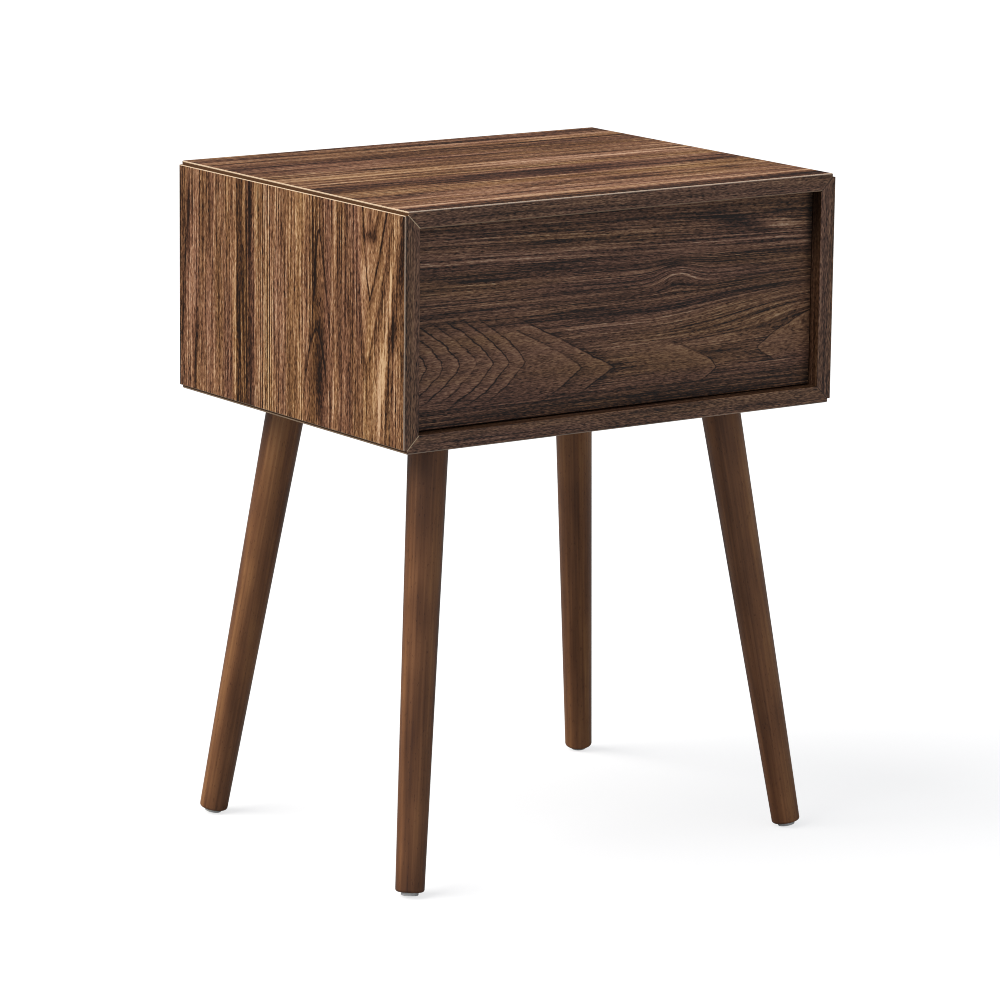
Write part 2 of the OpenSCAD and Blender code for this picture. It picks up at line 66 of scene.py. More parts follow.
class Graph:
    """The node tree of one new material, with a method for each kind of node that is used."""

    def __init__(self, name):
        self.material = bpy.data.materials.new(name)
        self.material.use_nodes = True
        self.tree = self.material.node_tree
        self.tree.nodes.clear()
        self.shader = self.tree.nodes.new("ShaderNodeBsdfPrincipled")
        output = self.tree.nodes.new("ShaderNodeOutputMaterial")
        self.tree.links.new(self.shader.outputs["BSDF"], output.inputs["Surface"])
        place = self.tree.nodes.new("ShaderNodeTexCoord").outputs["Object"]
        self.x, self.y, self.z = self.split(place)

    def feed(self, socket, value):
        if isinstance(value, Value):
            self.tree.links.new(value.socket, socket)
        else:
            socket.default_value = value

    def split(self, vector_socket):
        node = self.tree.nodes.new("ShaderNodeSeparateXYZ")
        self.tree.links.new(vector_socket, node.inputs[0])
        return [Value(self, socket) for socket in node.outputs]

    def math(self, operation, *values):
        node = self.tree.nodes.new("ShaderNodeMath")
        node.operation = operation
        for socket, value in zip(node.inputs, values):
            self.feed(socket, value)
        return Value(self, node.outputs[0])

    def smooth(self, value, start, end):
        """0 before start, 1 past end, and a smooth step between them; end may be below start."""
        node = self.tree.nodes.new("ShaderNodeMapRange")
        node.interpolation_type = "SMOOTHSTEP"
        low, high = min(start, end), max(start, end)
        self.feed(node.inputs["Value"], value)
        node.inputs["From Min"].default_value = low
        node.inputs["From Max"].default_value = high
        node.inputs["To Min"].default_value = 0.0 if end > start else 1.0
        node.inputs["To Max"].default_value = 1.0 if end > start else 0.0
        return Value(self, node.outputs["Result"])

    def hill(self, value, centre, width):
        """1 at centre, falling off as a bell curve of that width."""
        offset = (value - centre) / width
        return self.math("EXPONENT", offset * offset * -1.0)

    def noise(self, x, y, z, detail=1.0, roughness=0.5):
        """Soft noise about 0, between -0.5 and 0.5, where one unit is one cell."""
        place = self.tree.nodes.new("ShaderNodeCombineXYZ")
        for socket, value in zip(place.inputs, (x, y, z)):
            self.feed(socket, value)
        node = self.tree.nodes.new("ShaderNodeTexNoise")
        node.inputs["Scale"].default_value = 1.0
        node.inputs["Detail"].default_value = detail
        node.inputs["Roughness"].default_value = roughness
        self.tree.links.new(place.outputs[0], node.inputs["Vector"])
        return Value(self, node.outputs["Fac"]) - 0.5

    def ramp(self, value, stops):
        """A ramp through (place, grey or hex colour) stops. Its socket is a colour."""
        node = self.tree.nodes.new("ShaderNodeValToRGB")
        elements = node.color_ramp.elements
        while len(elements) < len(stops):
            elements.new(1.0)
        for element, (place, colour) in zip(elements, stops):
            element.position = place
            element.color = linear(colour) if isinstance(colour, str) else (colour, colour, colour, 1.0)
        self.feed(node.inputs["Fac"], value)
        return Value(self, node.outputs["Color"])

    def mix(self, share, first, second):
        """A colour that goes from first to second as share goes from 0 to 1."""
        node = self.tree.nodes.new("ShaderNodeMix")
        node.data_type = "RGBA"
        self.feed(node.inputs["Factor"], share)
        sockets = [s for s in node.inputs if s.type == "RGBA"]
        for socket, colour in zip(sockets, (first, second)):
            self.feed(socket, linear(colour) if isinstance(colour, str) else colour)
        result = next(s for s in node.outputs if s.type == "RGBA")
        return Value(self, result)

    def muted(self, colour, saturation):
        """The same colour with less (below 1) or more (above 1) of its hue."""
        node = self.tree.nodes.new("ShaderNodeHueSaturation")
        node.inputs["Saturation"].default_value = saturation
        self.feed(node.inputs["Color"], colour)
        return Value(self, node.outputs["Color"])

    def bump(self, height, depth):
        """Relief from a height between 0 and 1, depth metres deep."""
        node = self.tree.nodes.new("ShaderNodeBump")
        node.inputs["Strength"].default_value = 1.0
        node.inputs["Distance"].default_value = depth
        self.feed(node.inputs["Height"], height)
        self.tree.links.new(node.outputs["Normal"], self.shader.inputs["Normal"])

    def set(self, **constants):
        """Constant values on the shader's own sockets."""
        for name, value in constants.items():
            self.shader.inputs[name.replace("_", " ")].default_value = value


def linear(hex_colour):
    """A hex sRGB colour as the linear RGBA that Blender wants."""
    channels = [int(hex_colour[i:i + 2], 16) / 255 for i in (1, 3, 5)]
    return tuple(c / 12.92 if c <= 0.04045 else ((c + 0.055) / 1.055) ** 2.4 for c in channels) + (1.0,)


# ---- walnut veneer ----

TAN_WALNUT = [
    (0.0, "#22150d"),
    (0.14, "#422918"),
    (0.30, "#604129"),
    (0.45, "#7c573a"),
    (0.60, "#946c49"),
    (0.78, "#b38b62"),
    (1.0, "#d8b58c"),
]
ROSY_WALNUT = [
    (0.0, "#21150f"),
    (0.14, "#432a1f"),
    (0.30, "#624132"),
    (0.45, "#7e5845"),
    (0.60, "#976d56"),
    (0.78, "#b58b6f"),
    (1.0, "#d9b598"),
]


class Veneer(Graph):
    """Walnut veneer. u runs with the grain and v across it, in metres, from one corner of the board.

    line is the place across the board of the grain line that a point lies on: it is v, bent by sway
    and crests. tone is how pale the wood is, from 0 to 1; each method below adds one trait to it."""

    def __init__(self, name, board, grain, across, seed, sway=3 * MM):
        super().__init__(name)
        low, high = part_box(board)
        axes = {"x": self.x, "y": self.y, "z": self.z}
        self.u = axes[grain] - low["xyz".index(grain)]
        if across[0] == "-":
            self.v = high["xyz".index(across[1])] - axes[across[1]]
        else:
            self.v = axes[across] - low["xyz".index(across)]
        through = next(a for a in "xyz" if a not in grain + across)
        self.layer = axes[through] * 40 + seed
        self.depth = axes[through] * 900 + seed
        self.seed = seed
        slow = self.noise(self.u * 3.0, self.v * 14, self.layer)
        quick = self.noise(self.u * 16, self.v * 70, self.layer + 5)
        self.line = self.v + slow * (2 * sway) + quick * (0.5 * sway)
        self.pale = 0.0
        self.calm = 1.0
        self.rosy = 0.0

    def add(self, amount):
        self.pale = amount if isinstance(self.pale, float) else self.pale + amount

    def bands(self, width, stops):
        """Broad bands: tone by share of the way across a board of that width."""
        as_number = self.ramp(self.line / width, stops) * 1.0
        self.add(as_number)

    def crest(self, u, v, length, width, lift):
        """Lifts the grain lines round a point, as they run over a knot under the surface."""
        push = self.hill(self.u, u, length) * self.hill(self.v, v, width)
        self.line = self.line + push * lift

    def blush(self, width, stops):
        """How rosy the wood is, by share of the way across a board of that width: 0.5 is halfway to tan."""
        self.rosy = self.ramp(self.line / width, stops) - 0.5

    def bend(self, start, end, v, width, lift):
        """Grain lines round v shift by lift across the board as they run from start to end."""
        self.line = self.line + self.smooth(self.u, start, end) * self.hill(self.v, v, width) * lift

    def lean(self, v, width, slope):
        """Grain lines round v climb across the board as they run along it."""
        self.line = self.line + self.hill(self.v, v, width) * self.u * slope

    def flame(self, u, v, length, width, tone, lean=0.0):
        """A long soft patch, darker or paler."""
        line = self.line + (self.u - u) * lean
        self.add(self.hill(self.u, u, length) * self.hill(line, v, width) * tone)

    def stripes(self, v, width, spacing, depth):
        """Fine parallel stripes round v."""
        wave = self.math("SINE", self.line * (2 * math.pi / spacing))
        self.add(wave * self.hill(self.line, v, width) * depth)

    def rings(self, spacing, depth, warp=1.0):
        """Growth rings cut along: each darkens slowly, ends in a thin dark line and starts again pale."""
        wander = self.noise(self.u * 2.5, self.line * 70, self.layer + 15, detail=1.0)
        place = self.line / spacing + wander * warp
        ring = self.math("FRACT", place)
        number = self.math("FLOOR", place)
        strength = self.noise(number * 3.7, self.u * 5, self.seed + 8.0, detail=1.0) * 3.0 + 0.8
        dark = self.smooth(ring, 0.4, 1.0) * 0.55 + self.smooth(ring, 0.16, 0.0)
        self.add(dark * self.math("MAXIMUM", strength, 0.0) * self.calm * (0.0 - depth))

    def arches(self, apex, centre, half_width, rise, spacing, rings, heading=1, line=-0.5, inside=0.0,
               point=1.6, drift=0.0, pen=2.2 * MM, shade=0.35, below=1.25):
        """Nested arches, their tips pointing the way of heading. The foremost tip is at u = apex, the
        axis of the arches at v = centre there, and the foremost arch is 2 half_width wide where it is
        rise long. A thin dark line, drawn with a pen that wide, parts each ring from the next; the wood
        darkens towards it from outside, and is pale just inside it. The flank on the far side of the axis
        fades out below times half_width away from it."""
        ahead = (self.u - apex) * heading
        wobble = self.noise(self.u * 35, self.v * 90, self.layer + 11, detail=2.0, roughness=0.7) * (9 * MM)
        middle = (self.u - apex) * drift + centre
        side = abs(self.v - middle) / half_width
        gap = self.math("MULTIPLY", ahead + wobble + side ** point * rise, -1.0)
        count = gap / spacing
        ring = self.math("FRACT", count)
        climb = side ** (point - 1.0) * (point * rise / half_width)
        steep = self.math("SQRT", climb * climb + 1.0)
        past = ring * spacing / steep
        short_of = (ring * -1.0 + 1.0) * spacing / steep
        strength = 1.0
        if rings > 1:
            number = self.math("FLOOR", count)
            strength = self.noise(number * 3.7, 0.5, self.seed + 2.0, detail=0.0) * 1.2 + 1.0
        strength = (self.noise(self.u * 25, self.v * 45, self.layer + 12) * 1.6 + 1.0) * strength
        edge = self.smooth(past, pen, 0.2 * pen)
        dark = edge + self.smooth(short_of, 7 * MM, 0.0) * shade
        pale = self.smooth(past, 12 * MM, 1 * MM) * 0.10
        away = gap / steep
        within = self.smooth(away, -0.3 * MM, 0.1 * MM) * self.smooth(count, rings, rings - 0.3)
        flank = self.smooth(side, 1.25, 0.8)
        flank = flank * self.smooth((self.v - middle) / half_width, below, below * 0.5)
        mask = within * flank
        outside = self.smooth(away, -8 * MM, 0.0) * self.smooth(away, 0.2 * MM, -0.2 * MM) * flank
        self.add((dark * strength * line + pale + inside) * mask + outside * (shade * line))
        calmer = mask * -0.75 + 1.0
        self.calm = self.calm * calmer if isinstance(self.calm, Value) else calmer

    def finish(self, shift=0.0, lines=230, long=1.4, cord=0.0, short=1.0, fibre=1.0, pores=0.20,
               gloss=0.50, shine=0.10, colour=1.0):
        """Adds grain at every scale, then makes colour, gloss and relief. `lines` counts to the metre."""
        streak = self.noise(self.u * 1.2, self.line * lines, self.layer + 20, detail=3.0, roughness=0.85)
        cords = self.noise(self.u * 16, self.line * 330, self.layer + 25, detail=1.0)
        strand = self.noise(self.u * 10, self.line * 900, self.depth + 30, detail=1.0, roughness=0.8)
        fine = self.noise(self.u * 250, self.line * 1250, self.depth + 40, detail=1.0)
        flecks = self.noise(self.u * 230, self.line * 1300, self.depth + 60, detail=0.0)
        dashes = self.smooth(flecks, 0.12, 0.24)
        mottle = self.noise(self.u * 9, self.v * 26, self.layer + 70, detail=1.0)
        grain = (streak * long + cords * cord + strand * short) * self.calm
        tone = self.pale + grain + fine * fibre + mottle * 0.12 - dashes * pores + shift
        warmth = self.noise(self.u * 4, self.line * 45, self.layer + 80, detail=2.0) + self.rosy
        hue = self.smooth(warmth, -0.25, 0.25)
        both = self.mix(hue, self.ramp(tone, TAN_WALNUT), self.ramp(tone, ROSY_WALNUT))
        self.colour = self.muted(both, colour)
        self.feed(self.shader.inputs["Roughness"], gloss + fine * 0.22 + dashes * 0.25)
        self.bump(fine * 0.6 + strand * 0.4 + 0.5 - dashes * 0.5, 0.06 * MM)
        self.set(Specular_IOR_Level=shine)
        return self

    def done(self):
        self.tree.links.new(self.colour.socket, self.shader.inputs["Base Color"])
        return self.material


def case_distances(wood):
    """How far in a point lies from the left or right face of the case, and from its top or bottom face.

    Also the heights of the middle and of the top of the case."""
    low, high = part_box("case_bottom")[0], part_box("case_top")[1]
    half_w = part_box("case_right_side")[1].x
    mid_z, half_h = (low.z + high.z) / 2, (high.z - low.z) / 2
    from_side = abs(wood.x) * -1.0 + half_w
    from_face = abs(wood.z - mid_z) * -1.0 + half_h
    return from_side, from_face, mid_z, high.z


def case_edges(wood):
    """Adds the bare wood in the mouth of the corner notches, their dark floor, and painted shade on the
    inside faces.

    The bare wood is duller at the bottom corners, and the painted shade on the inside faces is darkest under
    the top."""
    from_side, from_face, mid_z, top_z = case_distances(wood)
    nearer = wood.math("MINIMUM", from_side, from_face)
    bare = wood.smooth(nearer, 0.05 * MM, 0.25 * MM) * wood.smooth(nearer, 1.35 * MM, 1.10 * MM)
    bare = bare * (wood.smooth(wood.z, mid_z - 50 * MM, mid_z) * 0.5 + 0.5)
    blur = 0.1 * MM
    floor = wood.smooth(from_side, NOTCH + blur, NOTCH) * wood.smooth(from_face, NOTCH + blur, NOTCH)
    # Painted shade: the inside faces of the opening are darkened towards near black, most under the top,
    # where shade falls in the recess.
    inner = wood.smooth(nearer, BOARD - 0.5 * MM, BOARD - 0.2 * MM)
    inside_painted_shade = wood.smooth(wood.z, mid_z, top_z - 2 * BOARD) * 0.4 + 0.5
    wood.colour = wood.mix(inner * inside_painted_shade, wood.colour, "#20130c")
    wood.colour = wood.mix(floor, wood.colour, "#5e4029")
    wood.colour = wood.mix(bare, wood.colour, "#dcc2a2")
    return wood


def left_side_veneer():
    """Upright figure: a dark band, fine stripes, two spear points and a nest of arches at the front."""
    wood = Veneer("left_side_veneer", "case_left_side", "z", "-y", seed=3.0, sway=1.6 * MM)
    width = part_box("case_left_side")[1].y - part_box("case_left_side")[0].y
    wood.bands(width, [
        (0.0, 0.22), (0.015, 0.30), (0.035, 0.42), (0.07, 0.42), (0.10, 0.38), (0.17, 0.46),
        (0.21, 0.38), (0.245, 0.38), (0.254, 0.62), (0.262, 0.56), (0.267, 0.12), (0.29, 0.16),
        (0.305, 0.30), (0.325, 0.12), (0.338, 0.20), (0.346, 0.46), (0.40, 0.48), (0.452, 0.52),
        (0.46, 0.40), (0.575, 0.54), (0.60, 0.42), (0.66, 0.42), (0.69, 0.48),
        (0.703, 0.60), (0.712, 0.34), (0.75, 0.30), (0.79, 0.34), (0.83, 0.50), (0.90, 0.46),
        (0.95, 0.42), (0.975, 0.50), (1.0, 0.30),
    ])
    wood.blush(width, [
        (0.0, 0.52), (0.24, 0.50), (0.27, 0.42), (0.34, 0.47), (0.46, 0.42), (0.56, 0.42),
        (0.67, 0.47), (0.71, 0.57), (0.78, 0.55), (0.81, 0.40), (1.0, 0.46),
    ])
    wood.stripes(0.142, 0.019, 3.7 * MM, 0.36)
    wood.flame(0.09, 0.018, 0.13, 0.0035, 0.16, lean=-0.10)
    wood.flame(0.09, 0.007, 0.13, 0.003, -0.26, lean=-0.10)
    wood.flame(0.03, 0.027, 0.06, 0.002, -0.24, lean=-0.08)
    wood.arches(0.168, 0.2235, 0.014, 0.080, 0.090, 1, line=-0.50, inside=-0.08, point=1.6, drift=-0.04,
                pen=4 * MM)
    wood.flame(0.130, 0.2185, 0.030, 0.0028, -0.40)
    wood.arches(0.083, 0.2200, 0.0165, 0.040, 0.090, 1, line=-0.56, inside=-0.10, point=2.0, pen=4 * MM)
    wood.flame(0.045, 0.2255, 0.045, 0.0055, -0.46)
    wood.arches(0.060, 0.2957, 0.027, 0.120, 0.057, 3, heading=-1, line=-0.50, inside=0.08, point=1.3,
                drift=0.09, pen=4 * MM)
    wood.flame(0.137, 0.2945, 0.014, 0.007, 0.34)
    wood.flame(0.172, 0.301, 0.005, 0.011, -0.40)
    wood.flame(0.10, 0.327, 0.12, 0.0032, 0.46, lean=-0.14)
    wood.flame(0.10, 0.336, 0.09, 0.003, -0.24, lean=-0.14)
    wood.flame(0.095, 0.334, 0.014, 0.007, -0.40, lean=-0.2)
    wood.flame(0.045, 0.312, 0.035, 0.008, 0.22, lean=-0.3)
    wood.flame(0.150, 0.347, 0.040, 0.004, -0.30)
    wood.rings(5.5 * MM, 0.22)
    wood.finish(shift=0.07, long=0.7, cord=0.85, short=1.5, fibre=1.2, pores=0.26, colour=1.06)
    return case_edges(wood).done()


def right_side_veneer():
    """Upright figure: broad bands, faint stripes and a nest of five arches."""
    wood = Veneer("right_side_veneer", "case_right_side", "z", "y", seed=13.0, sway=2.4 * MM)
    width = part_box("case_right_side")[1].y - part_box("case_right_side")[0].y
    wood.bands(width, [
        (0.0, 0.34), (0.06, 0.46), (0.13, 0.38), (0.16, 0.56), (0.19, 0.44), (0.27, 0.30),
        (0.33, 0.48), (0.40, 0.50), (0.47, 0.38), (0.58, 0.46), (0.63, 0.56), (0.66, 0.30),
        (0.72, 0.42), (0.81, 0.50), (0.88, 0.36), (0.94, 0.52), (1.0, 0.32),
    ])
    wood.arches(0.13, 0.185, 0.030, 0.13, 0.028, 5, line=-0.50, point=1.5, pen=3 * MM)
    wood.stripes(0.09, 0.02, 4.1 * MM, 0.14)
    wood.flame(0.05, 0.28, 0.09, 0.006, -0.3, lean=0.05)
    wood.rings(6.5 * MM, 0.16)
    wood.finish(shift=0.09, long=1.1, short=0.9, fibre=1.2, pores=0.26, colour=1.03)
    return case_edges(wood).done()


def top_veneer():
    """Long streaks with the grain from side to side, climbing a little at the front edge."""
    wood = Veneer("top_veneer", "case_top", "x", "-y", seed=23.0, sway=2.2 * MM)
    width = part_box("case_top")[1].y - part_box("case_top")[0].y
    wood.lean(0.350, 0.050, 0.020)
    wood.bands(width, [
        (0.0, 0.40), (0.03, 0.44), (0.07, 0.40), (0.10, 0.52), (0.14, 0.48), (0.155, 0.36),
        (0.175, 0.42), (0.20, 0.32), (0.24, 0.30), (0.28, 0.36), (0.32, 0.46), (0.35, 0.54),
        (0.39, 0.52), (0.43, 0.60), (0.47, 0.56), (0.50, 0.60), (0.535, 0.58), (0.555, 0.42),
        (0.60, 0.32), (0.655, 0.30), (0.67, 0.46), (0.695, 0.50), (0.71, 0.60), (0.735, 0.56),
        (0.76, 0.42), (0.80, 0.44), (0.85, 0.54), (0.895, 0.36), (0.93, 0.80), (0.952, 0.56),
        (0.972, 0.02), (1.0, 0.30),
    ])
    wood.blush(width, [
        (0.0, 0.52), (0.04, 0.60), (0.12, 0.52), (0.20, 0.58), (0.30, 0.58), (0.36, 0.52),
        (0.52, 0.52), (0.56, 0.64), (0.66, 0.58), (0.70, 0.50), (0.78, 0.60), (0.90, 0.60), (1.0, 0.56),
    ])
    wood.flame(0.289, 0.282, 0.035, 0.008, -0.40)
    wood.flame(0.244, 0.212, 0.040, 0.006, -0.22)
    wood.flame(0.393, 0.276, 0.014, 0.008, -0.30)
    wood.flame(0.045, 0.280, 0.025, 0.006, -0.26, lean=0.3)
    wood.flame(0.115, 0.129, 0.030, 0.003, -0.36, lean=-0.22)
    wood.flame(0.160, 0.290, 0.050, 0.004, -0.24, lean=0.5)
    wood.flame(0.200, 0.285, 0.050, 0.004, -0.22, lean=0.5)
    wood.flame(0.320, 0.304, 0.080, 0.003, 0.26, lean=0.1)
    wood.flame(0.400, 0.343, 0.060, 0.006, -0.24)
    wood.rings(13 * MM, 0.20)
    wood.finish(shift=0.03, lines=130, long=2.1, cord=0.7, short=1.3, fibre=1.2, pores=0.2, colour=1.06)
    return case_edges(wood).done()


def bottom_veneer():
    """The underside, plain straight grain."""
    wood = Veneer("bottom_veneer", "case_bottom", "x", "y", seed=33.0, sway=3 * MM)
    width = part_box("case_bottom")[1].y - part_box("case_bottom")[0].y
    wood.bands(width, [
        (0.0, 0.40), (0.12, 0.34), (0.2, 0.48), (0.31, 0.42), (0.42, 0.30), (0.5, 0.46),
        (0.62, 0.52), (0.7, 0.38), (0.83, 0.46), (0.92, 0.34), (1.0, 0.42),
    ])
    wood.rings(9 * MM, 0.16)
    wood.finish(shift=0.06)
    return case_edges(wood).done()


def drawer_front_veneer():
    """Lying figure: nested arches low on the left, a crest above the middle, long streaks on top.

    The end beside the right side board is darkened, to stand for the deep shadow in that corner."""
    wood = Veneer("drawer_front_veneer", "drawer_front", "x", "-z", seed=43.0, sway=1.4 * MM)
    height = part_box("drawer_front")[1].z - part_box("drawer_front")[0].z
    wood.crest(0.272, 0.060, 0.022, 0.012, 0.010)
    wood.lean(0.030, 0.030, -0.03)
    wood.bend(0.24, 0.44, 0.095, 0.022, 0.020)
    wood.bands(height, [
        (0.0, 0.40), (0.05, 0.34), (0.09, 0.40), (0.12, 0.34), (0.155, 0.56), (0.17, 0.42),
        (0.185, 0.60), (0.20, 0.44), (0.235, 0.30), (0.285, 0.32), (0.30, 0.50), (0.32, 0.40),
        (0.36, 0.42), (0.40, 0.34), (0.43, 0.38), (0.455, 0.28), (0.475, 0.40), (0.51, 0.36),
        (0.55, 0.46), (0.66, 0.48), (0.76, 0.46), (0.84, 0.42), (0.87, 0.34), (0.92, 0.30),
        (0.96, 0.28), (1.0, 0.22),
    ])
    wood.arches(0.113, 0.121, 0.034, 0.040, 0.0165, 8, line=-0.46, point=1.45, drift=0.04, pen=1.9 * MM,
                shade=0.12)
    wood.arches(0.172, 0.132, 0.040, 0.072, 0.090, 1, line=-0.44, point=1.2, pen=1.8 * MM, shade=0.2,
                below=0.70)
    wood.arches(0.207, 0.135, 0.046, 0.090, 0.090, 1, line=-0.54, point=1.05, pen=1.8 * MM, shade=0.3,
                below=0.50)
    wood.arches(0.316, 0.144, 0.024, 0.045, 0.080, 1, line=-0.42, inside=0.04, point=1.5, pen=1.8 * MM,
                shade=0.15, below=0.6)
    wood.arches(0.359, 0.132, 0.030, 0.060, 0.090, 1, heading=-1, line=-0.44, inside=0.04, point=1.3,
                pen=1.8 * MM, shade=0.15, below=0.5)
    wood.flame(0.268, 0.052, 0.014, 0.004, -0.40)
    wood.flame(0.278, 0.0665, 0.050, 0.0014, 0.34)
    wood.flame(0.200, 0.088, 0.120, 0.004, -0.18)
    wood.flame(0.300, 0.100, 0.100, 0.0030, 0.24)
    wood.flame(0.330, 0.010, 0.035, 0.005, -0.32, lean=-0.16)
    wood.flame(0.383, 0.014, 0.020, 0.005, 0.30, lean=-0.1)
    wood.flame(0.350, 0.086, 0.080, 0.0045, -0.24)
    wood.rings(6 * MM, 0.24)
    wood.finish(shift=0.0, lines=260, long=0.7, cord=0.1, short=1.4, fibre=0.95, shine=0.4)
    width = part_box("drawer_front")[1].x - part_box("drawer_front")[0].x
    end = wood.smooth(wood.u, width - 10 * MM, width - 2 * MM)
    shade = wood.smooth(wood.v, 0.08, 0.03) * 0.4 + wood.smooth(wood.v, 0.13, 0.165) * 0.2 + 0.35
    wood.colour = wood.mix(end * shade, wood.colour, "#0d0806")
    return wood.done()


def back_veneer():
    """Lying figure of the back panel."""
    wood = Veneer("back_veneer", "back_panel", "x", "z", seed=53.0, sway=2.4 * MM)
    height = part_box("back_panel")[1].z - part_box("back_panel")[0].z
    wood.crest(0.13, 0.09, 0.03, 0.02, 0.010)
    wood.bands(height, [
        (0.0, 0.34), (0.08, 0.42), (0.16, 0.32), (0.24, 0.48), (0.33, 0.44), (0.41, 0.30),
        (0.52, 0.40), (0.58, 0.52), (0.63, 0.38), (0.74, 0.44), (0.82, 0.34), (0.9, 0.46), (1.0, 0.34),
    ])
    wood.arches(0.300, 0.070, 0.040, 0.11, 0.022, 7, line=-0.50, point=1.6, drift=-0.04)
    wood.flame(0.2, 0.14, 0.09, 0.006, -0.18)
    wood.rings(6 * MM, 0.20)
    wood.finish(shift=0.04, lines=260, long=0.8, short=0.8, fibre=1.1, shine=0.4, colour=0.97)
    return wood.done()


def band_veneer(end, place, grain, seed):
    """Edge band: straight fine grain along it, a thin line where mitred bands meet, a painted highlight along
    its outer edges, and on the top band a painted highlight along its inner lip.
    """
    node = f"{end}_band_{place}"
    across = "z" if grain == "x" else "x"
    wood = Veneer(node + "_veneer", node, grain, across, seed=seed, sway=0.6 * MM)
    wood.add(wood.noise(wood.u * 6.0, wood.line * 260, wood.layer + 90, detail=2.0) * 0.5 + 0.37)
    wood.finish(shift=-0.02, lines=260, long=0.7, short=0.7, fibre=1.1, pores=0.2, gloss=0.45, shine=0.4,
                colour=0.95)
    from_side, from_face = case_distances(wood)[:2]
    joint = wood.smooth(abs(from_side - from_face), 0.75 * MM, 0.35 * MM)
    glue_line = wood.mix(wood.smooth(wood.x, -0.01, 0.01), "#d8bd98", "#3a2a20")
    wood.colour = wood.mix(joint * 0.9, wood.colour, glue_line)
    # Painted highlight: a pale line along the band's outer edges, where the eased edge catches the light;
    # strongest on the top band, which faces the light.
    painted_edge_highlight = wood.smooth(wood.math("MINIMUM", from_side, from_face), 1.1 * MM, 0.6 * MM)
    wood.colour = wood.mix(painted_edge_highlight * (0.9 if place == "top" else 0.4), wood.colour, "#dcc3aa")
    if place == "top":
        # Painted highlight: a pale line along the inner edge of the top band, where it catches the light
        # above the recessed drawer front.
        painted_lip_highlight = wood.smooth(from_face, BOARD - 1.1 * MM, BOARD - 0.7 * MM)
        painted_lip_highlight = painted_lip_highlight * wood.smooth(from_side, BOARD - 1 * MM, BOARD)
        wood.colour = wood.mix(painted_lip_highlight * 0.65, wood.colour, "#ac9074")
    return wood.done()


# ---- other materials ----

BEECH = [(0.1, "#b08a60"), (0.5, "#c9a67a"), (0.9, "#dcbf97")]
BIRCH = [(0.1, "#bd9c72"), (0.4, "#d0b48c"), (0.7, "#dec7a4"), (0.95, "#ead9bd")]
HARDBOARD = [(0.1, "#8f6d49"), (0.5, "#a5825b"), (0.9, "#bb9970")]


def stained_beech(name, foot, head, seed, leg_tone_and_painted_light):
    """Beech stained brown: straight grain from foot to head, small flecks, a satin coat, and a tone shift per
    leg that partly stands in for light and shade.
    """
    g = Graph(name)
    axis = (head - foot).normalized()
    side = axis.cross(Vector((0, 1, 0))).normalized()
    other = axis.cross(side)
    along = g.x * axis.x + g.y * axis.y + g.z * axis.z
    across = g.x * side.x + g.y * side.y + g.z * side.z
    depth = g.x * other.x + g.y * other.y + g.z * other.z
    broad = g.noise(along * 2.5, across * 60, depth * 60 + seed, detail=2.0)
    streak = g.noise(along * 8, across * 420, depth * 420 + seed, detail=1.0)
    fleck = g.smooth(g.noise(along * 260, across * 900, depth * 900 + seed, detail=1.0), 0.12, 0.25)
    cloud = g.noise(along * 14, across * 30, depth * 30 + seed + 4, detail=2.0)
    tone = broad * 0.9 + streak * 0.6 + cloud * 0.7 + (0.5 + leg_tone_and_painted_light) - fleck * 0.20
    stain = [(0.0, "#432512"), (0.3, "#623c20"), (0.5, "#784d2d"), (0.7, "#8d5f38"), (1.0, "#ab794c")]
    colour = g.ramp(tone, stain)
    g.tree.links.new(colour.socket, g.shader.inputs["Base Color"])
    g.feed(g.shader.inputs["Roughness"], streak * 0.12 + cloud * 0.10 + 0.40)
    g.bump(streak * 0.5 + 0.5 - fleck * 0.4, 0.05 * MM)
    g.set(Specular_IOR_Level=0.4)
    return g.material


def pale_wood(name, stops, grain, seed, streak=0.5, gloss=0.45):
    """Pale board: soft streaks with the grain, fine fibre and a few darker flecks."""
    g = Graph(name)
    axes = {"x": (g.x, g.y, g.z), "y": (g.y, g.x, g.z), "z": (g.z, g.x, g.y)}[grain]
    u, v, w = axes
    broad = g.noise(u * 3, v * 60, w * 60 + seed, detail=2.0)
    fine = g.noise(u * 20, v * 700, w * 700 + seed + 3, detail=1.0)
    fleck = g.smooth(g.noise(u * 160, v * 1200, w * 1200 + seed + 7, detail=1.0), 0.14, 0.26)
    tone = broad * streak + fine * 0.35 + 0.5 - fleck * 0.18
    colour = g.ramp(tone, stops)
    g.tree.links.new(colour.socket, g.shader.inputs["Base Color"])
    g.feed(g.shader.inputs["Roughness"], fine * 0.2 + gloss)
    g.bump(fine * 0.5 + 0.5 - fleck * 0.3, 0.05 * MM)
    return g.material


def plated_steel(name, colour_dark, colour_pale, roll, gloss, seed):
    """Plated or rolled steel: faint cloudy patches and rolling marks along the part."""
    g = Graph(name)
    cloud = g.noise(g.x * 90, g.y * 60, g.z * 90 + seed, detail=3.0)
    marks = g.noise(g.x * 900, g.y * roll, g.z * 900 + seed + 3, detail=2.0)
    tone = cloud * 0.8 + marks * 0.5 + 0.5
    colour = g.ramp(tone, [(0.2, colour_dark), (0.8, colour_pale)])
    g.tree.links.new(colour.socket, g.shader.inputs["Base Color"])
    g.feed(g.shader.inputs["Roughness"], cloud * 0.25 + marks * 0.2 + gloss)
    g.bump(marks * 0.6 + cloud * 0.4 + 0.5, 0.02 * MM)
    g.set(Metallic=1.0)
    return g.material


